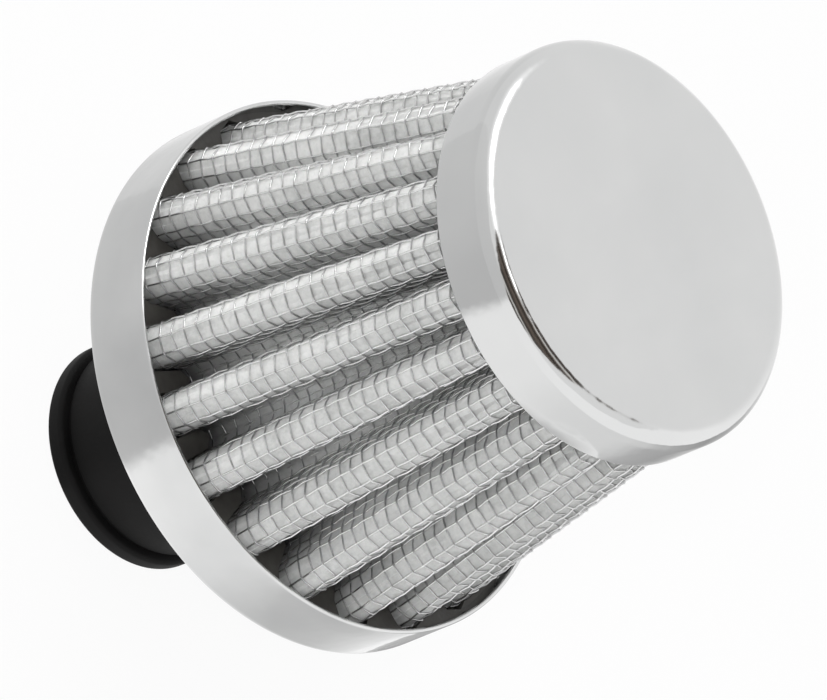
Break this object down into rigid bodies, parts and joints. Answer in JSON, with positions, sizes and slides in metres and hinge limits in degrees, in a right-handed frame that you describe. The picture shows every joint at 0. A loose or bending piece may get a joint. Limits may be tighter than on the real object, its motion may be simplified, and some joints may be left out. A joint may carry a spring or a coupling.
{
  "type": "crankcase breather filter",
  "caption": "Conical crankcase breather filter: pleated cotton gauze between wire screens, a bright plated cap and pan, and a rubber neck to clamp over a vent spigot.",
  "frame": {"origin": "centre of the neck's end face, which is the part's lowest plane", "axes": "+Z runs along the filter's axis from the neck to the cap; X and Y lie across it, and -Y is the side towards the viewer"},
  "size_m": [0.0636, 0.0636, 0.0831],
  "materials": {
    "plated_steel": "polished",
    "black_rubber": "satin",
    "sealant": "satin",
    "cotton_gauze": "matte",
    "screen_wire": "satin"
  },
  "bodies": {
    "root": {"top_cap": "plated_steel", "base_pan": "plated_steel", "rubber_neck": "black_rubber", "base_potting": "sealant", "top_potting": "sealant", "gauze_ply_1": "cotton_gauze", "gauze_ply_2": "cotton_gauze", "gauze_ply_3": "cotton_gauze", "gauze_ply_4": "cotton_gauze", "outer_screen_hoops": "screen_wire", "outer_screen_wires": "screen_wire", "inner_screen_hoops": "screen_wire", "inner_screen_wires": "screen_wire", "seam_strip": "screen_wire"}
  },
  "joints": []
}
